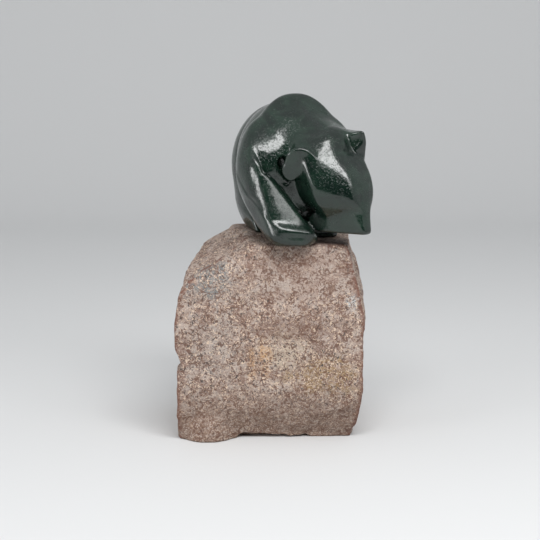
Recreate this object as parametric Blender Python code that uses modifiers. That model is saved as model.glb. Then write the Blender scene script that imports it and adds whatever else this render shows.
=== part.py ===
"""A carved nephrite bear standing on a block of natural stone.

The bear is one solid: a heavy body in three nested masses, a head turned to its left and lowered, and four
short legs. The stone is a second solid with a flat top for the feet and a flat underside. Both are described
by distance functions built from a few named masses and cut planes. A mesh is netted around each one on a
grid, remeshed evenly, slid onto the exact surface, and reduced to a light faceted solid.

World frame: metres, +Z up, origin at the middle of the underside, the bear's chest facing -Y.
"""

import math

import bpy
import numpy as np
from mathutils import Euler, Matrix, Vector, noise


def mm(*lengths):
    """Millimetres as metres: one length, or a point."""
    metres = np.array(lengths, float) * 0.001
    return metres if len(lengths) > 1 else float(metres[0])


# Driving dimensions
STONE_HEIGHT = mm(78)
BEAR_HEIGHT = mm(57.7)
CONTACT_GAP = mm(0.3)

# The bear's own frame: +x to its left, -y forward, z up from the ground under its feet
BEAR_PLACE = np.array([*mm(6, 3), STONE_HEIGHT + CONTACT_GAP])
BEAR_TURN = 9

# The head's frame: +x to its left, -y along the nose, +z out of the crown, from a point between the ears
HEAD_PLACE = mm(9.6, -24.6, 32.6)
HEAD_TURN = 41
HEAD_NOD = 55
HEAD_TILT = 22
MUZZLE_CLEARANCE = mm(4.6)

# Each mesh: the box of its grid (low and high corners), the grid's step, and its number of triangles
BEAR_BOX = mm(-26, -44, 76), mm(48, 48, 140)
BEAR_STEP = mm(1)
BEAR_TRIANGLES = 6600
STONE_BOX = mm(-48, -38, -4), mm(44, 46, 84)
STONE_STEP = mm(1.9)
STONE_TRIANGLES = 3200

# A grid cell's corners, and its edges as pairs of corners
CORNERS = [np.array(corner) for corner in np.ndindex(2, 2, 2)]
CELL_EDGES = [(a, b) for a in CORNERS for b in CORNERS if (b >= a).all() and (b - a).sum() == 1]

JADE = {"colour": (0.012, 0.036, 0.022), "roughness": 0.12}
STONE = {"colour": (0.23, 0.17, 0.14), "roughness": 0.85}


# Distances: every function takes an array of points and gives one signed distance each, negative inside.


def turned(x=0, y=0, z=0):
    """The 3x3 matrix of a turn given in degrees."""
    return np.array(Euler((math.radians(x), math.radians(y), math.radians(z))).to_matrix())


def into(points, place, axes):
    """Points in the frame that stands at a place with the given axes."""
    return (points - place) @ axes


def joined(first, second, blend):
    """The union of two distances, with a fillet about as wide as the blend."""
    near = np.maximum(blend - np.abs(first - second), 0) / blend
    return np.minimum(first, second) - near**3 * blend / 6


def cut(first, second, blend):
    """The overlap of two distances, with a rounded edge about as wide as the blend."""
    return -joined(-first, -second, blend)


def plane(points, place, normal):
    """The half space behind a plane."""
    normal = np.array(normal, float)
    return (points - place) @ (normal / np.linalg.norm(normal))


def facets(points, blend, *planes):
    """A convex block, given as (place, normal) pairs, with rounded edges."""
    distance = plane(points, *planes[0])
    for place, normal in planes[1:]:
        distance = cut(distance, plane(points, place, normal), blend)
    return distance


def ball(points, centre, radii):
    """An ellipsoid."""
    outer = np.linalg.norm((points - centre) / radii, axis=1)
    inner = np.linalg.norm((points - centre) / radii**2, axis=1)
    return outer * (outer - 1) / np.maximum(inner, 1e-6)


def limb(points, start, end, start_radius, end_radius):
    """A round limb that tapers from one radius to another."""
    along = end - start
    share = np.clip((points - start) @ along / (along @ along), 0, 1)
    axis = start + share[:, None] * along
    return np.linalg.norm(points - axis, axis=1) - (start_radius + (end_radius - start_radius) * share)


BEAR_AXES = turned(z=BEAR_TURN)
HEAD_AXES = turned(z=HEAD_TURN) @ turned(x=HEAD_NOD) @ turned(y=-HEAD_TILT)

# The bear's masses: balls as (centre, radii), limbs as (start, end, start radius, end radius)
RUMP = (mm(-0.2, 20, 26.6), mm(21, 20.5, 25.4))
BELLY = (mm(0, 3, 30.5), mm(21.2, 26, 23.4))
SHOULDERS = (mm(0, -8, 24), mm(20.8, 16.5, 31.6))
HUMP = (mm(0.9, -8, 37.2), mm(15, 16, 19.8))
NECK = (mm(1.5, -10, 38), mm(11, -21.5, 36.5), mm(13.6), mm(8.6))
RIGHT_LEG = (mm(-9.3, -14.6, 26), mm(-5, -24, 7), mm(14.6), mm(12.4))
LEFT_LEG = (mm(12, -6, 26), mm(11, -5, 9), mm(8), mm(7.5))
LEFT_PAW = mm(11, -2, 0)
GAP = (mm(-6.9, -22, 31), mm(-3.6, -20, 23.2), mm(2, -18, 15), mm(6.5, -16.5, 8.5))
BELLY_HEIGHT = mm(11)
CREASE = mm(1.6)

# The head's masses, in its own frame
SKULL = (mm(0, -4, -1.5), mm(15, 19, 16.5))
JAW = (mm(0, -12, -3.5), mm(15.5, 17.5, 17.5))
NEAR_EAR = (mm(-13.9, 0.2, 3.7), mm(-15.8, -0.8, 0.6), mm(6.4), mm(5))
FAR_EAR = (mm(11.8, 1, -0.5), mm(3.2, 9, 15.2))
EAR_HOLLOW = (mm(8.7, -1.1, 12.7), mm(5, 5, 5))


def groove(points, radius, *path):
    """The distance outside a round groove that runs along a path."""
    runs = [limb(points, start, end, radius, radius) for start, end in zip(path, path[1:])]
    return -np.minimum.reduce(runs)


def thigh(side):
    """A thigh's centre and radii, on one side of the body."""
    return mm(side * 11, 20, 17), mm(9, 15, 18)


def shoulder_swell(side):
    """A shoulder's centre and radii, on one side of the body."""
    return mm(side * 12, -11, 31), mm(10.8, 13.8, 17.3)


def trunk(points):
    """Haunches, belly, and shoulders with the hump: three nested masses with creases between, over an arch."""
    back = joined(ball(points, *RUMP), ball(points, *BELLY), CREASE)
    front = joined(ball(points, *SHOULDERS), ball(points, *HUMP), mm(6))
    for side in (-1, 1):
        front = joined(front, ball(points, *shoulder_swell(side)), mm(3))
    ground = facets(
        points,
        mm(3),
        (mm(0, -24, 41.5), (0, -0.743, 0.669)),
        (mm(-11.8, -19.35, 42.7), (-0.31, -0.66, 0.68)),
        (mm(11.6, -18.9, 42.2), (0.31, -0.66, 0.68)),
    )
    shoulder_flats = facets(
        points,
        mm(2),
        (mm(-15.2, -22.2, 36.3), (-0.2, -0.84, 0.505)),
        (mm(-12.2, -24, 32.4), (-0.25, -0.945, 0.208)),
    )
    front = cut(cut(front, ground, mm(2)), shoulder_flats, mm(2))
    underside = -plane(points, (0, 0, BELLY_HEIGHT), (0, 0, 1))
    return cut(joined(back, front, CREASE), underside, mm(8))


def hind_leg(points, side):
    """A thigh on a squared foot, whose outer side draws in towards the ground."""
    foot = facets(
        points - mm(side * 10, 18, 0),
        mm(3),
        (mm(0, 0, 9), (0, -0.3, 1)),
        (mm(side * 4.2, 0, 2.5), (side * 0.95, 0, -0.31)),
        (mm(side * -6, 0, 0), (-side, 0, 0.12)),
        (mm(0, -13, 0), (0, -1, 0.25)),
        (mm(0, 15, 0), (0, 1, 0.1)),
    )
    return joined(ball(points, *thigh(side)), foot, mm(4))


def right_front_leg(points):
    """The leg in front: it leans inwards to a rounded paw, and its front is ground to facets behind a bright ridge."""
    ridge = (mm(-17.5, -27.5, 17.6), (-0.61, -0.79, 0.08))
    outside = plane(points, mm(-21.9, -18, 18), (-1, -0.15, -0.05))
    inside = plane(points, mm(-1.4, -22, 13), (0.75, -0.1, 0.6))
    sole = facets(
        points,
        mm(2),
        (mm(-15, -25, 3.3), (-0.832, 0.033, -0.554)),
        (mm(-15, -25, 3.3), (-0.704, -0.016, -0.71)),
        (mm(-6, -33.4, 0.6), (-0.1, -0.6, -0.8)),
    )
    mass = cut(cut(limb(points, *RIGHT_LEG), outside, mm(4)), sole, mm(2))
    ankle = plane(points, mm(-17.9, -27.1, 18.7), (-0.93, -0.313, -0.194))
    mass = cut(mass, joined(ankle, plane(points, mm(0, 0, 19), (0, 0, -1)), mm(5)), mm(1))

    # The shoulder hangs over the shin in a step that fades out towards the leg's outer side
    step = plane(points, mm(-14.5, -25, 27), (0.36, 0.1, 0.93))
    step = joined(step, plane(points, mm(-16, 0, 0), (1, 0, 0)), mm(3))
    shin = facets(
        points,
        mm(2),
        ridge,
        (mm(-13, -31.7, 10.3), (-0.14, -0.963, 0.228)),
        (mm(-7.2, -33, 8.5), (0.136, -0.929, 0.344)),
        (mm(-3.5, -32.3, 12.3), (0.524, -0.677, 0.517)),
    )
    paw = facets(
        points,
        mm(2.5),
        ridge,
        (mm(-13, -35.3, 7.4), (0.139, -0.552, 0.822)),
        (mm(-8, -34.9, 6.6), (0.05, -0.97, -0.22)),
        (mm(2, -27.5, 10), (0.55, -0.4, 0.73)),
        (mm(4.2, -27.5, 2.5), (0.8, -0.3, -0.5)),
        (mm(0, -12, 2), (0, 1, 0)),
    )
    upper = cut(cut(mass, shin, mm(1.6)), step, mm(1.2))
    return cut(joined(upper, cut(mass, paw, mm(1)), mm(2)), inside, mm(2))


def left_front_leg(points):
    """The leg behind the head: a plain column on a squared paw."""
    paw = facets(
        points - LEFT_PAW,
        mm(4),
        (mm(0, 0, 9), (0, -0.2, 1)),
        (mm(6.5, 0, 0), (1, 0, 0)),
        (mm(-8.5, 0, 0), (-1, 0, 0)),
        (mm(0, -9, 0), (0, -1, 0.2)),
        (mm(0, 7, 0), (0, 1, 0.2)),
    )
    return joined(limb(points, *LEFT_LEG), paw, mm(4))


def skull(points):
    """The crown and cheeks: a rounded mass ground to the forehead, the brows and the slanting cheeks."""
    round_head = joined(ball(points, *SKULL), ball(points, *JAW), mm(3))
    front = facets(
        points,
        mm(2.2),
        (mm(-0.6, 5.1, 9.3), (0.12, 0.79, 0.6)),
        (mm(-5.5, -8.3, 8.8), (-0.168, 0.027, 0.985)),
        (mm(-9.6, 0.4, 8.2), (-0.432, 0.447, 0.784)),
        (mm(-5.5, -8.3, 8.8), (-0.5, -0.205, 0.836)),
        (mm(-14.4, -10.8, 2.9), (-0.679, -0.538, 0.5)),
        (mm(-12.6, -16.3, -0.5), (-0.613, -0.783, 0.102)),
        (mm(-17.7, -7.9, 1.9), (-0.853, -0.335, -0.401)),
        (mm(-13.4, 0, 0), (-1, 0, -0.1)),
        (mm(0, -14, -13), (0, 0.1, -1)),
    )
    far_side = facets(
        points,
        mm(3),
        (mm(0.7, -13.9, 10), (0.401, 0.034, 0.916)),
        (mm(0.7, -13.9, 10), (0.336, -0.418, 0.844)),
        (mm(14.4, -5.3, 4.3), (0.97, -0.235, 0)),
        (mm(12.4, -18.6, 3.8), (0.99, -0.09, 0)),
        (mm(12.4, -18.8, 3.8), (0.73, -0.68, 0.1)),
    )
    return cut(cut(round_head, front, mm(2)), far_side, mm(2.5))


def muzzle(points):
    """A block with a narrow bridge and sides that widen downwards."""
    return facets(
        points,
        mm(1.6),
        (mm(-0.8, -24.4, 6.8), (0.159, -0.491, 0.856)),
        (mm(0.7, -13.9, 10), (0.336, -0.418, 0.844)),
        (mm(-1.3, -24.4, 4.9), (-0.869, -0.259, 0.421)),
        (mm(-2.4, -23.7, 3), (-0.359, -0.286, 0.888)),
        (mm(6, -24.2, 5.8), (0.93, -0.3, 0.06)),
        (mm(0, -14, -13), (0, 0.1, -1)),
        (mm(0, -35, 0), (0, -1, 0)),
        (mm(0, -16, 0), (0, 1, 0)),
    )


def ears(points):
    """The near ear has a flat outer face and a straight front edge; the far one is hollowed towards the crown."""
    near = facets(
        points,
        mm(1),
        (mm(-14.5, 0, 2.8), (-0.657, -0.493, 0.57)),
        (mm(-10.3, -1.2, 6.6), (-0.062, -0.963, 0.263)),
    )
    far = facets(
        points,
        mm(1.6),
        (mm(13.5, 2.9, 10.8), (0, 0.874, 0.486)),
        (mm(13.5, -1, 10.2), (0, -0.835, 0.55)),
    )
    near = cut(limb(points, *NEAR_EAR), near, mm(2.4))
    far = cut(cut(ball(points, *FAR_EAR), far, mm(1.5)), -ball(points, *EAR_HOLLOW), mm(1))
    return np.minimum(near, far)


def head(points):
    """Skull, muzzle and ears, for points in the bear's frame."""
    local = into(points, HEAD_PLACE, HEAD_AXES)
    face = joined(skull(local), muzzle(local), mm(1.4))
    return joined(face, ears(local), mm(2.4))


def bear(points):
    """The whole bear, for points in the world frame."""
    local = into(points, BEAR_PLACE, BEAR_AXES)
    body = trunk(local)
    for side in (-1, 1):
        body = joined(body, hind_leg(local, side), mm(2))
    nape = mm(4) + mm(4) * np.clip((local[:, 0] - mm(6)) / mm(6), 0, 1)
    body = joined(body, limb(local, *NECK), nape)
    armpit = mm(1.4) + mm(5) * np.clip((-local[:, 0] - mm(16)) / mm(4), 0, 1)
    body = joined(body, right_front_leg(local), armpit)
    body = joined(body, left_front_leg(local), mm(1.5))
    body = cut(body, groove(local, mm(3), *GAP), mm(1.5))
    body = cut(body, -plane(local, (0, 0, 0), (0, 0, 1)), mm(1))
    lowered = cut(head(local), -plane(local, (0, 0, MUZZLE_CLEARANCE), (0, 0, 1)), mm(2.5))
    withers = mm(1.2) + mm(4.5) * np.clip((local[:, 2] - mm(35)) / mm(8), 0, 1)
    return cut(joined(body, lowered, withers), plane(local, (0, 0, BEAR_HEIGHT), (0, 0, 1)), mm(3))


# A low swelling at the stone's front left foot
STONE_LUMP = (mm(-27, -13.5, 3), mm(12.5, 16.5, 12))


def swells(points, wavelength, seed):
    """Broad natural unevenness between -1 and 1."""
    offset = Vector((seed, seed * 0.37, -seed))
    return np.array([noise.noise(Vector(point) / wavelength + offset) for point in points])


def stone_front(points):
    """The front face: steep at the top, upright in the middle and rolled under at the foot."""
    return facets(
        points,
        mm(9),
        (mm(0, -26, 72), (0.05, -1, 0.18)),
        (mm(0, -29.5, 45), (0, -1, 0)),
        (mm(0, -29.5, 14), (0.05, -0.857, -0.514)),
    )


def stone_sides(points):
    """Both flanks and the back."""
    return facets(
        points,
        mm(3),
        (mm(-35.8, 0, 60), (-0.97, 0.06, 0.22)),
        (mm(-37.8, 0, 30), (-1, 0.06, -0.02)),
        (mm(29.8, 0, 75), (0.96, -0.05, 0.28)),
        (mm(36, 0, 43), (1, 0, -0.08)),
        (mm(34.3, 0, 9), (0.92, -0.05, -0.38)),
        (mm(0, 37, 60), (0, 1, 0.12)),
        (mm(0, 38, 20), (0, 1, -0.15)),
        (mm(31, 32, 40), (0.7, 0.7, 0)),
        (mm(-33, 32, 40), (-0.7, 0.7, 0)),
    )


def stone(points):
    """The stone, for points in the world frame: its front rolls over into the crown, which slopes to the left."""
    front = stone_front(points)
    crown = plane(points, mm(-11, 0, 79), (-0.46, -0.07, 0.885))
    brow = plane(points, (0, 0, STONE_HEIGHT + mm(1.5)), (0, 0, 1))
    block = cut(cut(front, crown, mm(13)), cut(front, brow, mm(7)), mm(1.5))
    block = cut(block, stone_sides(points), mm(2))
    block = joined(block, ball(points, *STONE_LUMP), mm(4))
    block = block + mm(1.3) * swells(points, mm(24), 3) + mm(0.6) * swells(points, mm(9), 7)
    block = cut(block, plane(points, (0, 0, STONE_HEIGHT), (0, 0, 1)), mm(2))
    return cut(block, -plane(points, (0, 0, 0), (0, 0, 1)), mm(1.5))


# Meshes


def net(surface, box, step):
    """Vertices and quads around the inside of a distance function: one vertex in each grid cell that it crosses."""
    low, high = box
    counts = np.ceil((high - low) / step).astype(int) + 1
    grid = np.indices(counts).reshape(3, -1).T
    distance = surface(low + step * grid).reshape(counts)
    inside = distance < 0
    cells = np.full(counts, -1)
    touched = np.zeros(counts, int)
    for corner in CORNERS:
        touched += np.roll(inside, -corner, axis=(0, 1, 2))
    crossed = np.argwhere((touched > 0) & (touched < len(CORNERS)))
    cells[tuple(crossed.T)] = np.arange(len(crossed))

    total, hits = np.zeros(crossed.shape), np.zeros((len(crossed), 1))
    for start, end in CELL_EDGES:
        first, last = distance[tuple((crossed + start).T)], distance[tuple((crossed + end).T)]
        crosses = ((first < 0) != (last < 0))[:, None]
        share = first[:, None] / np.where(crosses, (first - last)[:, None], 1)
        total += np.where(crosses, start + share * (end - start), 0)
        hits += crosses
    vertices = low + step * (crossed + total / hits)

    quads = []
    for axis, (second, third) in enumerate(((1, 2), (2, 0), (0, 1))):
        along, across, over = np.eye(3, dtype=int)[[axis, second, third]]
        change = np.argwhere(inside != np.roll(inside, -1, axis=axis))
        around = [cells[tuple((change - back).T)] for back in (0 * along, across, across + over, over)]
        quad = np.stack(around, axis=1)
        leaves = inside[tuple(change.T)]
        quad[~leaves] = quad[~leaves, ::-1]
        quads.append(quad)
    return vertices, np.concatenate(quads)


def slide_onto(mesh, surface):
    """Moves a mesh's vertices along the slope of a distance function until they lie on its surface."""
    points = np.empty(len(mesh.vertices) * 3)
    mesh.vertices.foreach_get("co", points)
    points = points.reshape(-1, 3)
    reach = mm(0.02)
    for _ in range(4):
        slope = np.empty_like(points)
        for axis, offset in enumerate(np.eye(3) * reach):
            slope[:, axis] = (surface(points + offset) - surface(points - offset)) / (2 * reach)
        steepness = np.maximum((slope**2).sum(axis=1), 0.05)
        move = np.clip(surface(points) / steepness, -mm(0.5), mm(0.5))
        points = points - move[:, None] * slope
    mesh.vertices.foreach_set("co", points.ravel())
    mesh.update()


def apply_modifier(made, kind, **settings):
    """Adds one modifier to an object and makes its result the object's mesh."""
    modifier = made.modifiers.new(kind.title(), kind)
    for setting, value in settings.items():
        setattr(modifier, setting, value)
    graph = bpy.context.evaluated_depsgraph_get()
    result = bpy.data.meshes.new_from_object(made.evaluated_get(graph))
    made.modifiers.clear()
    old = made.data
    made.data = result
    bpy.data.meshes.remove(old)


def lighten(made, triangles):
    """Reduces an object to about a number of triangles."""
    made.data.calc_loop_triangles()
    apply_modifier(made, "DECIMATE", ratio=triangles / len(made.data.loop_triangles))


def finish(made, name, look):
    """Names an object's mesh and gives it its material and smooth shading."""
    made.data.name = name
    material = bpy.data.materials.new(name)
    material.use_nodes = True
    shader = material.node_tree.nodes["Principled BSDF"]
    shader.inputs["Base Color"].default_value = (*look["colour"], 1)
    shader.inputs["Roughness"].default_value = look["roughness"]
    shader.inputs["Metallic"].default_value = 0
    made.data.materials.clear()
    made.data.materials.append(material)
    made.data.shade_smooth()


def carved(collection, name, surface, box, step, triangles, look):
    """One solid of the collection: a net around a distance function, remeshed evenly, slid onto it and made lighter."""
    vertices, quads = net(surface, box, step)
    mesh = bpy.data.meshes.new(name)
    mesh.from_pydata(vertices.tolist(), [], quads.tolist())
    made = bpy.data.objects.new(name, mesh)
    collection.objects.link(made)
    apply_modifier(made, "REMESH", mode="VOXEL", voxel_size=step)
    slide_onto(made.data, surface)
    lighten(made, triangles)
    finish(made, name, look)
    return made


def centre_on_origin(objects):
    """Moves the finished meshes together until their bounding box stands centred on the origin."""
    corners = np.array([vertex.co[:] for made in objects for vertex in made.data.vertices])
    low, high = corners.min(axis=0), corners.max(axis=0)
    for made in objects:
        made.data.transform(Matrix.Translation((-(low[0] + high[0]) / 2, -(low[1] + high[1]) / 2, -low[2])))


def main():
    for old in list(bpy.data.objects):
        bpy.data.objects.remove(old)
    collection = bpy.data.collections.new("jade_bear_carving")
    bpy.context.scene.collection.children.link(collection)
    base = carved(collection, "stone_base", stone, STONE_BOX, STONE_STEP, STONE_TRIANGLES, STONE)
    carving = carved(collection, "bear", bear, BEAR_BOX, BEAR_STEP, BEAR_TRIANGLES, JADE)
    centre_on_origin([base, carving])


main()
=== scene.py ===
"""A polished jade bear on its block of natural stone.

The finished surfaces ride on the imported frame, in a plain pale studio.
"""

import math

import bpy
import numpy as np
from mathutils import Euler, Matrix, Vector, noise


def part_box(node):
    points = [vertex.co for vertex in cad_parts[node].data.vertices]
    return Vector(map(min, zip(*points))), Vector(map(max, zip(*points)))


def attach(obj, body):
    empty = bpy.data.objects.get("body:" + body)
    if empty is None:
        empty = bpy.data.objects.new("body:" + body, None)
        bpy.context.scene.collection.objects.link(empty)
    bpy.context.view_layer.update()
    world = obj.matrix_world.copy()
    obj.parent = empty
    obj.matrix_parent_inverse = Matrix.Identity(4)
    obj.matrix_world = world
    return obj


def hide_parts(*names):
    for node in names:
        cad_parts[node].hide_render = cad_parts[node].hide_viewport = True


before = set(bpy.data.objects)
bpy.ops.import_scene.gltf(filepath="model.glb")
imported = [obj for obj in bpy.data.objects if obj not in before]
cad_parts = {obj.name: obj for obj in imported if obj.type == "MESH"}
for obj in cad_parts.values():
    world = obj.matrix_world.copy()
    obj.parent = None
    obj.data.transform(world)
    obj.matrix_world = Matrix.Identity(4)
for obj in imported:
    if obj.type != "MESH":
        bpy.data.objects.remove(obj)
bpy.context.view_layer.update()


# ---------------------------------------------------------------------------------------------------------
# The stone base
# A block of natural stone, ground flat on top for the feet and flat underneath. Its sides keep their
# weathered rind: brown to mauve, grainy and flaked, rusty along the edges. It is one loose piece.
# ---------------------------------------------------------------------------------------------------------


def mm(*lengths):
    """Millimetres as metres: one length, or a point."""
    metres = np.array(lengths, float) * 0.001
    return metres if len(lengths) > 1 else float(metres[0])


# The stone's own frame stands on the ground, under the middle of its top
STONE_PLACE = np.array(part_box("stone_base")[0]) + mm(39.95, 29.89, 0)
STONE_HEIGHT = mm(78)
STONE_VOXEL = mm(0.62)
RIM_WIDTH = mm(2.4)
FLAKE_SIZE = mm(7)
FLAKE_DEPTH = mm(0.9)
GRAIN_SIZE = mm(1.6)
GRAIN_DEPTH = mm(0.3)

# The relief fades out over this height at the ground faces under the bear and under the stone
GROUND_FADE = mm(1.5)

# The rock is bedded: its grains are drawn out from front to back
BEDDING = (1, 0.4, 1)

# A lump at the front left foot, and a chip out of the left edge
STONE_LUMP = (mm(-27, -13.5, 3), mm(12.5, 16.5, 12))
CHIP = mm(-37, 0, 31)

# A crease across the front where a flake has come away, and a hollow under the front edge
FLAKE_CREASE = (mm(-9, -30.5, 46), mm(3, -31, 45.5), mm(11, -31, 48.5), mm(24, -31, 47))
FOOT_HOLLOW = (mm(-15, -20, -0.8), mm(-2, -19.5, -0.8), mm(11, -19.5, -1.6))


# Distances: every function takes an array of points and gives one signed distance each, negative inside.


def joined(first, second, blend):
    """The union of two distances, with a fillet about as wide as the blend."""
    near = np.maximum(blend - np.abs(first - second), 0) / blend
    return np.minimum(first, second) - near**3 * blend / 6


def cut(first, second, blend):
    """The overlap of two distances, with a rounded edge about as wide as the blend."""
    return -joined(-first, -second, blend)


def plane(points, place, normal):
    """The half space behind a plane."""
    normal = np.array(normal, float)
    return (points - place) @ (normal / np.linalg.norm(normal))


def facets(points, blend, *planes):
    """A convex block, given as (place, normal) pairs, with rounded edges."""
    distance = plane(points, *planes[0])
    for place, normal in planes[1:]:
        distance = cut(distance, plane(points, place, normal), blend)
    return distance


def ball(points, centre, radii):
    """An ellipsoid."""
    outer = np.linalg.norm((points - centre) / radii, axis=1)
    inner = np.linalg.norm((points - centre) / radii**2, axis=1)
    return outer * (outer - 1) / np.maximum(inner, 1e-6)


def limb(points, start, end, start_radius, end_radius):
    """A round limb that tapers from one radius to another."""
    along = end - start
    share = np.clip((points - start) @ along / (along @ along), 0, 1)
    axis = start + share[:, None] * along
    return np.linalg.norm(points - axis, axis=1) - (start_radius + (end_radius - start_radius) * share)


def groove(points, radius, *path):
    """The distance outside a round groove that runs along a path."""
    runs = [limb(points, start, end, radius, radius) for start, end in zip(path, path[1:])]
    return -np.minimum.reduce(runs)


def swells(points, wavelength, seed):
    """Broad natural unevenness between -1 and 1."""
    offset = Vector((seed, seed * 0.37, -seed))
    return np.array([noise.noise(Vector(point) / wavelength + offset) for point in points])


def stone_front(points):
    """The front face: steep at the top, upright in the middle and rolled under at the foot."""
    return facets(
        points,
        mm(9),
        (mm(0, -26, 72), (0.05, -1, 0.18)),
        (mm(0, -29.5, 45), (0, -1, 0)),
        (mm(0, -29.5, 14), (0.05, -0.857, -0.514)),
    )


def stone_sides(points):
    """Both flanks and the back."""
    return facets(
        points,
        mm(3),
        (mm(-35.8, 0, 60), (-0.97, 0.06, 0.22)),
        (mm(-37.8, 0, 30), (-1, 0.06, -0.02)),
        (mm(29.8, 0, 75), (0.96, -0.05, 0.28)),
        (mm(36, 0, 43), (1, 0, -0.08)),
        (mm(34.3, 0, 9), (0.92, -0.05, -0.38)),
        (mm(0, 37, 60), (0, 1, 0.12)),
        (mm(0, 38, 20), (0, 1, -0.15)),
        (mm(31, 32, 40), (0.7, 0.7, 0)),
        (mm(-33, 32, 40), (-0.7, 0.7, 0)),
    )


def stone(points):
    """The stone, for points in its own frame: its front rolls over into a crown that slopes to the left."""
    front = stone_front(points)
    crown = plane(points, mm(-11, 0, 79), (-0.46, -0.07, 0.885))
    brow = plane(points, (0, 0, STONE_HEIGHT + mm(1.5)), (0, 0, 1))
    block = cut(cut(front, crown, mm(13)), cut(front, brow, mm(7)), mm(1.5))
    block = cut(block, stone_sides(points), mm(2))
    block = joined(block, ball(points, *STONE_LUMP), mm(4))
    chip = facets(points, mm(0.6), (CHIP, (1, 0, 0.4)), (CHIP, (1, 0, -1)), (mm(0, -12, 0), (0.3, 1, 0)))
    block = cut(block, -chip, mm(0.6))
    block = cut(block, groove(points, mm(1.1), *FLAKE_CREASE), mm(1.6))
    block = cut(block, groove(points, mm(2.4), *FOOT_HOLLOW), mm(1.5))
    block = block + mm(1.3) * swells(points + STONE_PLACE, mm(24), 3)
    block = block + mm(0.6) * swells(points + STONE_PLACE, mm(9), 7)
    block = block + mm(0.35) * swells(points, mm(3.6), 11)
    block = cut(block, plane(points, (0, 0, STONE_HEIGHT), (0, 0, 1)), mm(1.5))
    return cut(block, -plane(points, (0, 0, 0), (0, 0, 1)), mm(1))


def stone_rim(points):
    """How near a point is to the edges around the front face: 1 on the edge, 0 past the rim's width."""
    away = np.abs(stone_front(points) - stone_sides(points))
    return np.clip(1 - away / RIM_WIDTH, 0, 1)


# A vertex slides onto its surface in a few short moves, along a slope measured across a small step
SLIDES = 4
LONGEST_SLIDE = mm(0.5)
SLOPE_STEP = mm(0.02)
LEAST_STEEPNESS = 0.05


def slide_onto(mesh, surface, place):
    """Moves a mesh's vertices along the slope of a distance function until they lie on its surface."""
    points = np.empty(len(mesh.vertices) * 3)
    mesh.vertices.foreach_get("co", points)
    points = points.reshape(-1, 3) - place
    for _ in range(SLIDES):
        slope = np.empty_like(points)
        for axis, offset in enumerate(np.eye(3) * SLOPE_STEP):
            slope[:, axis] = (surface(points + offset) - surface(points - offset)) / (2 * SLOPE_STEP)
        steepness = np.maximum((slope**2).sum(axis=1), LEAST_STEEPNESS)
        move = np.clip(surface(points) / steepness, -LONGEST_SLIDE, LONGEST_SLIDE)
        points = points - move[:, None] * slope
    mesh.vertices.foreach_set("co", (points + place).ravel())
    mesh.update()
    return points


def settle(made):
    """Makes the result of an object's modifiers its own mesh."""
    graph = bpy.context.evaluated_depsgraph_get()
    result = bpy.data.meshes.new_from_object(made.evaluated_get(graph))
    made.modifiers.clear()
    made.data = result


def fine_copy(node, name, voxel):
    """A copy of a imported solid, welded and remeshed evenly enough to take fine relief."""
    made = bpy.data.objects.new(name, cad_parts[node].data.copy())
    bpy.context.scene.collection.objects.link(made)
    made.data.materials.clear()
    weld = made.modifiers.new("Weld", "WELD")
    weld.merge_threshold = mm(0.01)
    remesh = made.modifiers.new("Remesh", "REMESH")
    remesh.mode = "VOXEL"
    remesh.voxel_size = voxel
    settle(made)
    return made


def added(tree, kind, sockets=None, **settings):
    """Adds a node: settings are its properties, and each of its sockets gets a value or an output to link."""
    made = tree.nodes.new(kind)
    for name, value in settings.items():
        setattr(made, name, value)
    for name, value in (sockets or {}).items():
        if isinstance(value, bpy.types.NodeSocket):
            tree.links.new(value, made.inputs[name])
        else:
            made.inputs[name].default_value = value
    return made


def calculated(tree, operation, first, second):
    """The output of a Math node."""
    return added(tree, "ShaderNodeMath", {0: first, 1: second}, operation=operation).outputs[0]


def new_group(name, kind, inputs, outputs):
    """A node group with named sockets, and its two end nodes."""
    group = bpy.data.node_groups.new(name, kind)
    for socket, (sort, value) in inputs.items():
        made = group.interface.new_socket(socket, in_out="INPUT", socket_type=f"NodeSocket{sort}")
        if value is not None:
            made.default_value = value
    for socket, sort in outputs.items():
        group.interface.new_socket(socket, in_out="OUTPUT", socket_type=f"NodeSocket{sort}")
    return group, group.nodes.new("NodeGroupInput"), group.nodes.new("NodeGroupOutput")


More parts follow.
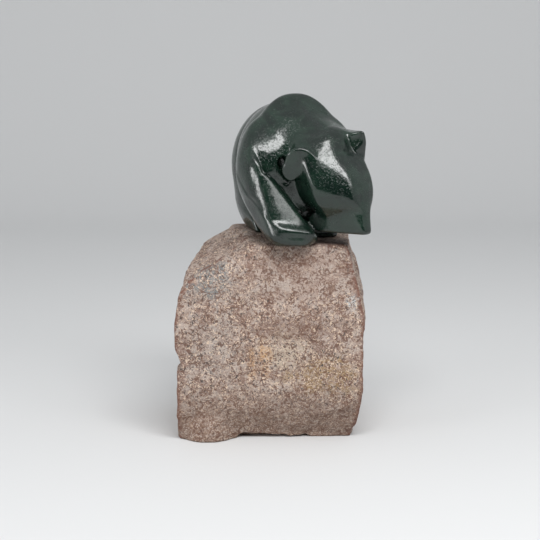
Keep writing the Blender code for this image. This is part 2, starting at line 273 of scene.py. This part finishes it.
def rind_relief():
    """Geometry nodes: flakes and grain pressed into the skin, fading out at the flats."""
    inputs = {
        "Geometry": ("Geometry", None),
        "Flake Size": ("Float", FLAKE_SIZE),
        "Flake Depth": ("Float", FLAKE_DEPTH),
        "Grain Size": ("Float", GRAIN_SIZE),
        "Grain Depth": ("Float", GRAIN_DEPTH),
        "Top": ("Float", STONE_HEIGHT),
        "Material": ("Material", None),
    }
    tree, start, end = new_group("rind_relief", "GeometryNodeTree", inputs, {"Geometry": "Geometry"})
    place = added(tree, "GeometryNodeInputPosition").outputs[0]
    height = added(tree, "ShaderNodeSeparateXYZ", {0: place}).outputs["Z"]

    flake_scale = calculated(tree, "DIVIDE", 1.0, start.outputs["Flake Size"])
    flakes = added(
        tree, "ShaderNodeTexNoise",
        {"Vector": place, "Scale": flake_scale, "Detail": 4.0, "Roughness": 0.55, "Distortion": 0.6},
    ).outputs[0]
    grain_scale = calculated(tree, "DIVIDE", 1.0, start.outputs["Grain Size"])
    grain = added(
        tree, "ShaderNodeTexNoise",
        {"Vector": place, "Scale": grain_scale, "Detail": 2.0, "Roughness": 0.6},
    ).outputs[0]
    flake_drop = calculated(tree, "MULTIPLY", flakes, start.outputs["Flake Depth"])
    grain_drop = calculated(tree, "MULTIPLY", grain, start.outputs["Grain Depth"])
    drop = calculated(tree, "ADD", flake_drop, grain_drop)

    # Nothing is pressed into the ground faces
    from_foot = calculated(tree, "DIVIDE", height, GROUND_FADE)
    below_top = calculated(tree, "SUBTRACT", start.outputs["Top"], height)
    to_top = calculated(tree, "DIVIDE", below_top, GROUND_FADE)
    nearer = calculated(tree, "MINIMUM", from_foot, to_top)
    fade = added(tree, "ShaderNodeClamp", {0: nearer}).outputs[0]
    drop = calculated(tree, "MULTIPLY", drop, fade)

    normal = added(tree, "GeometryNodeInputNormal").outputs[0]
    inwards = calculated(tree, "MULTIPLY", drop, -1.0)
    offset = added(tree, "ShaderNodeVectorMath", {0: normal, "Scale": inwards}, operation="SCALE").outputs[0]
    moved = added(
        tree, "GeometryNodeSetPosition",
        {"Geometry": start.outputs["Geometry"], "Offset": offset},
    )
    stored = added(
        tree, "GeometryNodeStoreNamedAttribute",
        {"Geometry": moved.outputs[0], "Name": "flake", "Value": flakes},
        data_type="FLOAT", domain="POINT",
    )
    real = added(tree, "GeometryNodeRealizeInstances", {0: stored.outputs[0]})
    finished = added(
        tree, "GeometryNodeSetMaterial",
        {"Geometry": real.outputs[0], "Material": start.outputs["Material"]},
    )
    tree.links.new(finished.outputs[0], end.inputs[0])
    return tree


def mottle_group():
    """Shader nodes: cloudy patches of one mineral in another, as a mask between two noise levels."""
    inputs = {
        "Place": ("Vector", None),
        "Size": ("Float", mm(5)),
        "From": ("Float", 0.45),
        "To": ("Float", 0.6),
        "Warp": ("Float", 0.5),
        "Detail": ("Float", 3.0),
    }
    tree, start, end = new_group("mineral_mottle", "ShaderNodeTree", inputs, {"Mask": "Float"})
    clouds = added(
        tree, "ShaderNodeTexNoise",
        {
            "Vector": start.outputs["Place"],
            "Scale": calculated(tree, "DIVIDE", 1.0, start.outputs["Size"]),
            "Detail": start.outputs["Detail"],
            "Distortion": start.outputs["Warp"],
        },
    )
    mask = added(
        tree, "ShaderNodeMapRange",
        {"Value": clouds.outputs[0], "From Min": start.outputs["From"], "From Max": start.outputs["To"]},
        interpolation_type="SMOOTHSTEP",
    )
    tree.links.new(mask.outputs[0], end.inputs["Mask"])
    return tree


MOTTLE = mottle_group()


def mottle(tree, place, size, low, high, warp=0.5, shift=0):
    """A mask from the mottle group, shifted so that masks of one size differ."""
    shifted = added(tree, "ShaderNodeMapping", {"Vector": place, "Location": (shift, shift * 0.6, -shift)})
    sockets = {"Place": shifted.outputs[0], "Size": size, "From": low, "To": high, "Warp": warp}
    group = tree.nodes.new("ShaderNodeGroup")
    group.node_tree = MOTTLE
    for name, value in sockets.items():
        if isinstance(value, bpy.types.NodeSocket):
            tree.links.new(value, group.inputs[name])
        else:
            group.inputs[name].default_value = value
    return group.outputs["Mask"]


def tinted(tree, share, under, over):
    """One colour laid over another by a mask."""
    mix = added(tree, "ShaderNodeMix", {0: share}, data_type="RGBA")
    for socket, colour in ((mix.inputs[6], under), (mix.inputs[7], over)):
        if isinstance(colour, bpy.types.NodeSocket):
            tree.links.new(colour, socket)
        else:
            socket.default_value = (*colour, 1)
    return mix.outputs[2]


def patch(tree, place, centre, radii):
    """A soft mask, 1 at the middle of an ellipsoid and 0 at its edge, with a ragged outline."""
    local = added(
        tree, "ShaderNodeMapping",
        {"Vector": place, "Location": tuple(centre), "Scale": tuple(radii)}, vector_type="TEXTURE",
    )
    ragged = added(tree, "ShaderNodeTexNoise", {"Vector": place, "Scale": 1 / mm(5), "Detail": 4.0})
    reach = added(tree, "ShaderNodeVectorMath", {0: local.outputs[0]}, operation="LENGTH").outputs["Value"]
    ragged_reach = calculated(tree, "ADD", reach, calculated(tree, "MULTIPLY", ragged.outputs[0], 1.4))
    return added(
        tree, "ShaderNodeMapRange",
        {"Value": ragged_reach, "From Min": 1.75, "From Max": 1.15}, interpolation_type="SMOOTHSTEP",
    ).outputs[0]


def new_material(name, **sockets):
    """A material with its Principled shader, given the plain values that are the same all over."""
    material = bpy.data.materials.new(name)
    material.use_nodes = True
    shader = material.node_tree.nodes["Principled BSDF"]
    for socket, value in sockets.items():
        shader.inputs[socket.replace("_", " ")].default_value = value
    return material, material.node_tree, shader


def rock_material():
    """Weathered rind: mauve-brown ground, cream and rust grains, ochre and blue-grey patches, rusty rims;
    with a painted glint at the top-left corner and painted shade on the top under the bear's paw and head.
    """
    material, tree, shader = new_material("weathered_rock", IOR=1.5)
    place = added(tree, "ShaderNodeTexCoord").outputs["Object"]
    height = added(tree, "ShaderNodeSeparateXYZ", {0: place}).outputs["Z"]
    bedded = added(tree, "ShaderNodeVectorMath", {0: place, 1: BEDDING}, operation="MULTIPLY").outputs[0]

    # Where the rind is coarse and flaked: the left and the middle; the brow and the foot are smoother
    smooth_brow = patch(tree, place, mm(11, -28, 67), mm(26, 24, 15))
    foot = added(
        tree, "ShaderNodeMapRange",
        {"Value": height, "From Min": mm(22), "From Max": mm(9)},
    ).outputs[0]
    brow_share = calculated(tree, "MULTIPLY", smooth_brow, 0.7)
    foot_share = calculated(tree, "MULTIPLY", foot, 0.65)
    coarse = calculated(tree, "SUBTRACT", 1.0, calculated(tree, "MAXIMUM", brow_share, foot_share))

    # The ground colours, in broad patches that fray into one another, and one pale spot at the top-left
    # corner that is a painted glint: each is (centre, radii, strength, tint)
    colour = tinted(tree, mottle(tree, bedded, mm(11), 0.4, 0.6), (0.2, 0.122, 0.092), (0.31, 0.23, 0.19))
    colour = tinted(tree, mottle(tree, bedded, mm(4.5), 0.47, 0.62, shift=0.3), colour, (0.37, 0.3, 0.26))
    fray = mottle(tree, bedded, mm(2.6), 0.33, 0.56, warp=1.5, shift=2.9)
    for centre, radii, strength, tint in (
        (mm(-25, -31, 66), mm(12, 14, 11), 0.95, (0.15, 0.16, 0.16)),
        # A painted glint: the pale spot on the blue-grey patch at the top-left corner
        (mm(-28, -30, 71), mm(5, 10, 4), 0.8, (0.5, 0.52, 0.54)),
        (mm(4, -33, 36), mm(12, 12, 10), 0.85, (0.43, 0.35, 0.27)),
        (mm(20, -33, 27), mm(19, 14, 10), 0.9, (0.27, 0.175, 0.085)),
        (mm(-3, -33, 34), mm(4, 10, 11), 0.8, (0.5, 0.29, 0.14)),
        (mm(-8, -33, 31), mm(3, 10, 9), 0.7, (0.46, 0.28, 0.15)),
        (mm(-24, -32, 38), mm(12, 14, 18), 0.55, (0.35, 0.31, 0.28)),
        (mm(31, -30, 56), mm(3.4, 10, 4), 0.8, (0.5, 0.52, 0.52)),
    ):
        frayed = calculated(tree, "MULTIPLY", fray, strength)
        share = calculated(tree, "MULTIPLY", patch(tree, place, centre, radii), frayed)
        colour = tinted(tree, share, colour, tint)
    colour = tinted(tree, calculated(tree, "MULTIPLY", foot, 0.75), colour, (0.185, 0.115, 0.08))

    # Grains: a pale network, rust, cream crystals and dark specks
    network = mottle(tree, bedded, mm(1.6), 0.5, 0.6, warp=2.4, shift=0.7)
    colour = tinted(tree, calculated(tree, "MULTIPLY", network, 0.65), colour, (0.45, 0.37, 0.32))
    rust = mottle(tree, bedded, mm(2.1), 0.5, 0.6, warp=2, shift=1.5)
    colour = tinted(tree, calculated(tree, "MULTIPLY", rust, 0.85), colour, (0.12, 0.058, 0.038))
    cream = mottle(tree, bedded, mm(1), 0.56, 0.64, warp=1.4, shift=1.1)
    colour = tinted(tree, calculated(tree, "MULTIPLY", cream, coarse), colour, (0.6, 0.46, 0.35))
    specks = mottle(tree, bedded, mm(1.2), 0.58, 0.66, warp=1.4, shift=1.9)
    colour = tinted(tree, calculated(tree, "MULTIPLY", specks, coarse), colour, (0.065, 0.05, 0.045))

    # Rust in the crease and along the rims
    crease = calculated(tree, "MULTIPLY", patch(tree, place, mm(8, -33, 45.5), mm(22, 12, 5)), fray)
    colour = tinted(tree, calculated(tree, "MULTIPLY", crease, 0.5), colour, (0.12, 0.055, 0.035))
    rim = added(tree, "ShaderNodeAttribute", attribute_name="rim").outputs["Fac"]
    rusty = calculated(tree, "MULTIPLY", rim, mottle(tree, bedded, mm(2.4), 0.38, 0.52, shift=2.3))
    colour = tinted(tree, rusty, colour, (0.14, 0.055, 0.035))

    # Painted shadow: the top's front edge is darkened under the bear's right paw, which overhangs it
    painted_shadow = calculated(tree, "MULTIPLY", patch(tree, place, mm(6, -30, 80), mm(9, 7, 4)), 0.9)
    colour = tinted(tree, painted_shadow, colour, (0.04, 0.024, 0.02))
    # Painted shade: a fainter darkening of the top under the lowered head
    painted_shadow = calculated(tree, "MULTIPLY", patch(tree, place, mm(23, -23, 80), mm(15, 16, 5)), 0.6)
    colour = tinted(tree, painted_shadow, colour, (0.1, 0.06, 0.05))
    tree.links.new(colour, shader.inputs["Base Color"])

    flake = added(tree, "ShaderNodeAttribute", attribute_name="flake").outputs["Fac"]
    roughness = added(tree, "ShaderNodeMapRange", {"Value": flake, "To Min": 0.95, "To Max": 0.6})
    tree.links.new(roughness.outputs[0], shader.inputs["Roughness"])
    grit = added(tree, "ShaderNodeTexNoise", {"Vector": bedded, "Scale": 1 / mm(0.8), "Detail": 4.0})
    bump = added(tree, "ShaderNodeBump", {"Height": grit.outputs[0], "Distance": mm(0.4), "Strength": 1.0})
    tree.links.new(bump.outputs[0], shader.inputs["Normal"])
    return material


stone_base = fine_copy("stone_base", "stone_base_rind", STONE_VOXEL)
stone_points = slide_onto(stone_base.data, stone, STONE_PLACE)
rims = stone_base.data.attributes.new("rim", "FLOAT", "POINT")
rims.data.foreach_set("value", stone_rim(stone_points))
relief = stone_base.modifiers.new("Relief", "NODES")
relief.node_group = rind_relief()
for item in relief.node_group.interface.items_tree:
    if item.name == "Material":
        relief[item.identifier] = rock_material()
settle(stone_base)
stone_base.data.shade_smooth()
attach(stone_base, "root")
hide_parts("stone_base")


# ---------------------------------------------------------------------------------------------------------
# The bear
# One solid piece of dark green nephrite: sawn, ground to broad facets with soft ridges, and polished. It
# stands on its four feet on the stone, its head turned to its left and lowered past the stone's edge.
# ---------------------------------------------------------------------------------------------------------

# The bear's own frame: +x to its left, -y forward, z up from the ground under its feet
BEAR_PLACE = np.array(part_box("bear")[0]) + mm(24.293, 37.225, 0)
BEAR_TURN = 9
BEAR_HEIGHT = mm(57.7)
BEAR_VOXEL = mm(0.4)

# The head's frame: +x to its left, -y along the nose, +z out of the crown, from a point between the ears
HEAD_PLACE = mm(9.6, -24.6, 32.6)
HEAD_TURN = 41
HEAD_NOD = 55
HEAD_TILT = 22
MUZZLE_CLEARANCE = mm(4.6)


def turned(x=0, y=0, z=0):
    """The 3x3 matrix of a turn given in degrees."""
    return np.array(Euler((math.radians(x), math.radians(y), math.radians(z))).to_matrix())


BEAR_AXES = turned(z=BEAR_TURN)
HEAD_AXES = turned(z=HEAD_TURN) @ turned(x=HEAD_NOD) @ turned(y=-HEAD_TILT)

# The bear's masses: balls as (centre, radii), limbs as (start, end, start radius, end radius)
RUMP = (mm(-0.2, 20, 26.6), mm(21, 20.5, 25.4))
BELLY = (mm(0, 3, 30.5), mm(21.2, 26, 23.4))
SHOULDERS = (mm(0, -8, 24), mm(20.8, 16.5, 31.6))
HUMP = (mm(0.9, -8, 37.2), mm(15, 16, 19.8))
NECK = (mm(1.5, -10, 38), mm(11, -21.5, 36.5), mm(13.6), mm(8.6))
RIGHT_LEG = (mm(-9.3, -14.6, 26), mm(-5, -24, 7), mm(14.6), mm(12.4))
LEFT_LEG = (mm(12, -6, 26), mm(11, -5, 9), mm(8), mm(7.5))
LEFT_PAW = mm(11, -2, 0)
LEG_CREASE = (mm(-18.5, -23.5, 28), mm(-11, -26, 25.8), mm(-6, -24, 23.5))
GAP = (mm(-6.9, -22, 31), mm(-3.6, -20, 23.2), mm(2, -18, 15), mm(6.5, -16.5, 8.5))
BELLY_HEIGHT = mm(11)
CREASE = mm(1.6)

# The head's masses, in its own frame
SKULL = (mm(0, -4, -1.5), mm(15, 19, 16.5))
JAW = (mm(0, -12, -3.5), mm(15.5, 17.5, 17.5))
NEAR_EAR = (mm(-13.9, 0.2, 3.7), mm(-15.8, -0.8, 0.6), mm(6.4), mm(5))
FAR_EAR = (mm(11.8, 1, -0.5), mm(3.2, 9, 15.2))
EAR_HOLLOW = (mm(8.7, -1.1, 12.7), mm(5, 5, 5))


def thigh(side):
    """A thigh's centre and radii, on one side of the body."""
    return mm(side * 11, 20, 17), mm(9, 15, 18)


def shoulder_swell(side):
    """A shoulder's centre and radii, on one side of the body."""
    return mm(side * 12, -11, 31), mm(10.8, 13.8, 17.3)


def trunk(points):
    """Haunches, belly, and shoulders with the hump: three nested masses, creased between, over an arch."""
    back = joined(ball(points, *RUMP), ball(points, *BELLY), CREASE)
    front = joined(ball(points, *SHOULDERS), ball(points, *HUMP), mm(6))
    for side in (-1, 1):
        front = joined(front, ball(points, *shoulder_swell(side)), mm(3))
    ground = facets(
        points,
        mm(3),
        (mm(0, -24, 41.5), (0, -0.743, 0.669)),
        (mm(-11.8, -19.35, 42.7), (-0.31, -0.66, 0.68)),
        (mm(11.6, -18.9, 42.2), (0.31, -0.66, 0.68)),
    )
    shoulder_flats = facets(
        points,
        mm(2),
        (mm(-15.2, -22.2, 36.3), (-0.2, -0.84, 0.505)),
        (mm(-12.2, -24, 32.4), (-0.25, -0.945, 0.208)),
    )
    front = cut(cut(front, ground, mm(2)), shoulder_flats, mm(2))
    underside = -plane(points, (0, 0, BELLY_HEIGHT), (0, 0, 1))
    return cut(joined(back, front, CREASE), underside, mm(8))


def hind_leg(points, side):
    """A thigh on a squared foot, whose outer side draws in towards the ground."""
    foot = facets(
        points - mm(side * 10, 18, 0),
        mm(3),
        (mm(0, 0, 9), (0, -0.3, 1)),
        (mm(side * 4.2, 0, 2.5), (side * 0.95, 0, -0.31)),
        (mm(side * -6, 0, 0), (-side, 0, 0.12)),
        (mm(0, -13, 0), (0, -1, 0.25)),
        (mm(0, 15, 0), (0, 1, 0.1)),
    )
    return joined(ball(points, *thigh(side)), foot, mm(4))


def right_front_leg(points):
    """The leg in front: it leans inwards to a long paw, and its front is ground to facets beside a ridge."""
    ridge = (mm(-17.5, -27.5, 17.6), (-0.61, -0.79, 0.08))
    outside = plane(points, mm(-21.9, -18, 18), (-1, -0.15, -0.05))
    inside = plane(points, mm(-1.4, -22, 13), (0.75, -0.1, 0.6))
    sole = facets(
        points,
        mm(4),
        (mm(-15, -25, 3.3), (-0.832, 0.033, -0.554)),
        (mm(-15, -25, 3.3), (-0.704, -0.016, -0.71)),
        (mm(-6, -33.4, 0.6), (-0.1, -0.6, -0.8)),
    )
    mass = cut(cut(limb(points, *RIGHT_LEG), outside, mm(4)), sole, mm(4))
    ankle = plane(points, mm(-17.9, -27.1, 18.7), (-0.93, -0.313, -0.194))
    mass = cut(mass, joined(ankle, plane(points, mm(0, 0, 19), (0, 0, -1)), mm(5)), mm(1))

    # The shoulder hangs over the shin in a step that fades out towards the leg's outer side
    step = plane(points, mm(-14.5, -25, 27), (0.36, 0.1, 0.93))
    step = joined(step, plane(points, mm(-16, 0, 0), (1, 0, 0)), mm(3))
    shin = facets(
        points,
        mm(2),
        ridge,
        (mm(-13, -31.7, 10.3), (-0.14, -0.963, 0.228)),
        (mm(-7.2, -32.5, 8.5), (0.136, -0.929, 0.344)),
        (mm(-3.5, -32.3, 12.3), (0.524, -0.677, 0.517)),
    )
    paw = facets(
        points,
        mm(2.5),
        ridge,
        (mm(-13, -35.3, 7.4), (0.139, -0.552, 0.822)),
        (mm(-8, -34.9, 6.6), (0.05, -0.97, -0.22)),
        (mm(2, -27.5, 10), (0.55, -0.4, 0.73)),
        (mm(4.2, -27.5, 2.5), (0.8, -0.3, -0.5)),
        (mm(0, -12, 2), (0, 1, 0)),
    )
    upper = cut(cut(mass, shin, mm(1.6)), step, mm(1.2))
    return cut(joined(upper, cut(mass, paw, mm(1)), mm(2)), inside, mm(2))


def left_front_leg(points):
    """The leg behind the head: a plain column on a squared paw."""
    paw = facets(
        points - LEFT_PAW,
        mm(4),
        (mm(0, 0, 9), (0, -0.2, 1)),
        (mm(6.5, 0, 0), (1, 0, 0)),
        (mm(-8.5, 0, 0), (-1, 0, 0)),
        (mm(0, -9, 0), (0, -1, 0.2)),
        (mm(0, 7, 0), (0, 1, 0.2)),
    )
    return joined(limb(points, *LEFT_LEG), paw, mm(4))


def skull(points):
    """The crown and cheeks: a rounded mass ground to the forehead, the brows and the slanting cheeks."""
    round_head = joined(ball(points, *SKULL), ball(points, *JAW), mm(3))
    front = facets(
        points,
        mm(2.2),
        (mm(-0.6, 5.1, 9.3), (0.12, 0.79, 0.6)),
        (mm(-5.5, -8.3, 8.8), (-0.168, 0.027, 0.985)),
        (mm(-9.6, 0.4, 8.2), (-0.432, 0.447, 0.784)),
        (mm(-5.5, -8.3, 8.8), (-0.5, -0.205, 0.836)),
        (mm(-14.4, -10.8, 2.9), (-0.679, -0.538, 0.5)),
        (mm(-12.6, -16.3, -0.5), (-0.613, -0.783, 0.102)),
        (mm(-17.7, -7.9, 1.9), (-0.853, -0.335, -0.401)),
        (mm(-13.4, 0, 0), (-1, 0, -0.1)),
        (mm(0, -14, -13), (0, 0.1, -1)),
    )
    far_side = facets(
        points,
        mm(3),
        (mm(0.7, -13.9, 10), (0.401, 0.034, 0.916)),
        (mm(0.7, -13.9, 10), (0.336, -0.418, 0.844)),
        (mm(14.4, -5.3, 4.3), (0.97, -0.235, 0)),
        (mm(12.4, -18.6, 3.8), (0.99, -0.09, 0)),
        (mm(12.4, -18.8, 3.8), (0.73, -0.68, 0.1)),
    )
    return cut(cut(round_head, front, mm(2)), far_side, mm(2.5))


def muzzle(points):
    """A block with a narrow bridge and sides that widen downwards."""
    return facets(
        points,
        mm(1.6),
        (mm(-0.8, -24.4, 6.8), (0.159, -0.491, 0.856)),
        (mm(0.7, -13.9, 10), (0.336, -0.418, 0.844)),
        (mm(-1.3, -24.4, 4.9), (-0.869, -0.259, 0.421)),
        (mm(-2.4, -23.7, 3), (-0.359, -0.286, 0.888)),
        (mm(6, -24.2, 5.8), (0.93, -0.3, 0.06)),
        (mm(0, -14, -13), (0, 0.1, -1)),
        (mm(0, -35, 0), (0, -1, 0)),
        (mm(0, -16, 0), (0, 1, 0)),
    )


def ears(points):
    """The near ear has a flat outer face and a straight front edge; the far one is hollowed inside."""
    near = facets(
        points,
        mm(1),
        (mm(-14.5, 0, 2.8), (-0.657, -0.493, 0.57)),
        (mm(-10.3, -1.2, 6.6), (-0.062, -0.963, 0.263)),
    )
    far = facets(
        points,
        mm(1.6),
        (mm(13.5, 2.9, 10.8), (0, 0.874, 0.486)),
        (mm(13.5, -1, 10.2), (0, -0.835, 0.55)),
    )
    near = cut(limb(points, *NEAR_EAR), near, mm(2.4))
    far = cut(cut(ball(points, *FAR_EAR), far, mm(1.5)), -ball(points, *EAR_HOLLOW), mm(2.4))
    return np.minimum(near, far)


def head(points):
    """Skull, muzzle and ears, for points in the bear's frame."""
    local = (points - HEAD_PLACE) @ HEAD_AXES
    face = joined(skull(local), muzzle(local), mm(1.4))
    return joined(face, ears(local), mm(2.4))


def bear_body(points):
    """The whole bear, for points in its own frame."""
    body = trunk(points)
    for side in (-1, 1):
        body = joined(body, hind_leg(points, side), mm(2))
    nape = mm(4) + mm(4) * np.clip((points[:, 0] - mm(6)) / mm(6), 0, 1)
    body = joined(body, limb(points, *NECK), nape)
    armpit = mm(1.4) + mm(5) * np.clip((-points[:, 0] - mm(16)) / mm(4), 0, 1)
    body = joined(body, right_front_leg(points), armpit)
    body = joined(body, left_front_leg(points), mm(1.5))
    body = cut(body, groove(points, mm(3), *GAP), mm(1.5))
    body = cut(body, groove(points, mm(0.8), *LEG_CREASE), mm(0.5))
    body = cut(body, -plane(points, (0, 0, 0), (0, 0, 1)), mm(1))
    lowered = cut(head(points), -plane(points, (0, 0, MUZZLE_CLEARANCE), (0, 0, 1)), mm(2.5))
    withers = mm(1.2) + mm(4.5) * np.clip((points[:, 2] - mm(35)) / mm(8), 0, 1)
    return cut(joined(body, lowered, withers), plane(points, (0, 0, BEAR_HEIGHT), (0, 0, 1)), mm(3))


def bear(points):
    """The whole bear, for points from its place but along the room's axes."""
    return bear_body(points @ BEAR_AXES)


def jade_material():
    """Polished nephrite: dark green, with lighter clouds, dark flecks and a polish worn dull in places."""
    material, tree, shader = new_material("nephrite", IOR=1.61)
    place = added(tree, "ShaderNodeTexCoord").outputs["Object"]
    depths = mottle(tree, place, mm(12), 0.38, 0.62)
    colour = tinted(tree, depths, (0.0035, 0.01, 0.007), (0.0075, 0.021, 0.0135))
    clouds = calculated(tree, "MULTIPLY", mottle(tree, place, mm(3.5), 0.5, 0.72, warp=0, shift=0.4), 0.5)
    colour = tinted(tree, clouds, colour, (0.017, 0.036, 0.024))
    flecks = calculated(tree, "MULTIPLY", mottle(tree, place, mm(1), 0.56, 0.74, warp=0, shift=0.9), 0.6)
    colour = tinted(tree, flecks, colour, (0.003, 0.007, 0.0055))
    tree.links.new(colour, shader.inputs["Base Color"])

    # The polish is duller in broad patches and grainy where the stone is pitted
    wear = mottle(tree, place, mm(5), 0.42, 0.68, shift=1.7)
    grain = mottle(tree, place, mm(0.9), 0.45, 0.65, warp=0, shift=2.1)
    worn = calculated(tree, "MULTIPLY", wear, 0.55)
    dullness = calculated(tree, "ADD", worn, calculated(tree, "MULTIPLY", grain, 0.45))
    roughness = added(tree, "ShaderNodeMapRange", {"Value": dullness, "To Min": 0.1, "To Max": 0.3})
    tree.links.new(roughness.outputs[0], shader.inputs["Roughness"])
    pits = mottle(tree, place, mm(0.55), 0.56, 0.7, warp=0, shift=2.6)
    ripple = added(tree, "ShaderNodeTexNoise", {"Vector": place, "Scale": 1 / mm(4), "Detail": 2.0})
    waves = calculated(tree, "MULTIPLY", ripple.outputs[0], 2.5)
    skin = calculated(tree, "SUBTRACT", waves, calculated(tree, "MULTIPLY", pits, 0.5))
    bump = added(tree, "ShaderNodeBump", {"Height": skin, "Distance": mm(0.08), "Strength": 0.8})
    tree.links.new(bump.outputs[0], shader.inputs["Normal"])
    return material


carving = fine_copy("bear", "bear_polished", BEAR_VOXEL)
slide_onto(carving.data, bear, BEAR_PLACE)
carving.data.materials.append(jade_material())
carving.data.shade_smooth()
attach(carving, "root")
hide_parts("bear")


# ---------------------------------------------------------------------------------------------------------
# The studio
# A seamless pale sweep in even light, a wide soft light high in front, smaller ones at the left and right
# front, a black card for the dark planes in the polish, and a camera level with the stone's shoulder.
# ---------------------------------------------------------------------------------------------------------

SWEEP_WIDTH = 3.0
SWEEP_FRONT = -1.2
SWEEP_BACK = 0.55
SWEEP_BEND = 0.35
SWEEP_HEIGHT = 1.6

CAMERA_TARGET = Vector((-0.00109, -0.00452, 0.0639))
CAMERA_DISTANCE = 0.6
CAMERA_RISE = 10


def sweep():
    """A floor that bends up into a backdrop."""
    profile = [(SWEEP_FRONT, 0.0), (SWEEP_BACK, 0.0)]
    for step in range(1, 25):
        angle = math.radians(90 * step / 24)
        profile.append((SWEEP_BACK + SWEEP_BEND * math.sin(angle), SWEEP_BEND * (1 - math.cos(angle))))
    profile.append((SWEEP_BACK + SWEEP_BEND, SWEEP_HEIGHT))
    vertices = [(x, y, z) for y, z in profile for x in (-SWEEP_WIDTH / 2, SWEEP_WIDTH / 2)]
    faces = [(2 * i, 2 * i + 1, 2 * i + 3, 2 * i + 2) for i in range(len(profile) - 1)]
    mesh = bpy.data.meshes.new("sweep")
    mesh.from_pydata(vertices, [], faces)
    mesh.shade_smooth()
    made = bpy.data.objects.new("sweep", mesh)
    bpy.context.scene.collection.objects.link(made)
    material, _, _ = new_material("sweep_paper", Base_Color=(0.66, 0.665, 0.668, 1), Roughness=0.9)
    mesh.materials.append(material)
    return made


def soft_light(name, place, target, width, height, radiance, colour=(1, 1, 1)):
    """A rectangular soft light of a given brightness, turned towards a point."""
    lamp = bpy.data.lights.new(name, "AREA")
    lamp.shape = "RECTANGLE"
    lamp.size, lamp.size_y = width, height
    lamp.energy = radiance * math.pi * width * height
    lamp.color = colour
    made = bpy.data.objects.new(name, lamp)
    made.location = place
    made.rotation_euler = (Vector(target) - Vector(place)).to_track_quat("-Z", "Y").to_euler()
    bpy.context.scene.collection.objects.link(made)
    return made


def flag(name, place, target, width, height):
    """A matt black card, turned towards a point: what the polish mirrors as its dark planes."""
    mesh = bpy.data.meshes.new(name)
    corners = [(x * width / 2, y * height / 2, 0) for x, y in ((-1, -1), (1, -1), (1, 1), (-1, 1))]
    mesh.from_pydata(corners, [], [(0, 1, 2, 3)])
    made = bpy.data.objects.new(name, mesh)
    made.location = place
    made.rotation_euler = (Vector(target) - Vector(place)).to_track_quat("-Z", "Y").to_euler()
    bpy.context.scene.collection.objects.link(made)
    material, _, _ = new_material(name + "_cloth", Base_Color=(0.02, 0.02, 0.021, 1), Roughness=1)
    mesh.materials.append(material)
    return made


sweep()
flag("black_card", (0.06, -1.05, 0.33), (0, -0.03, 0.12), 1.5, 0.75)
soft_light("front_high", (0.09, -0.48, 0.65), (0, -0.03, 0.11), 0.60, 0.243, 11)
soft_light("left_front", (-0.62, -0.42, 0.12), (0, -0.03, 0.12), 0.24, 0.24, 8)
soft_light("right_front", (0.32, -0.39, 0.37), (0, -0.03, 0.1), 0.25, 0.15, 4)

world = bpy.data.worlds.new("studio")
world.use_nodes = True
world.node_tree.nodes["Background"].inputs["Color"].default_value = (0.97, 0.985, 1, 1)
world.node_tree.nodes["Background"].inputs["Strength"].default_value = 0.58
bpy.context.scene.world = world

rise = math.radians(CAMERA_RISE)
back = Vector((0, -math.cos(rise), math.sin(rise)))
lens = bpy.data.cameras.new("camera")
lens.lens = 98.8
lens.sensor_width = 36
camera = bpy.data.objects.new("camera", lens)
camera.location = CAMERA_TARGET + CAMERA_DISTANCE * back
camera.rotation_euler = (-back).to_track_quat("-Z", "Y").to_euler()
bpy.context.scene.collection.objects.link(camera)
bpy.context.scene.camera = camera
bpy.context.scene.view_settings.view_transform = "Standard"
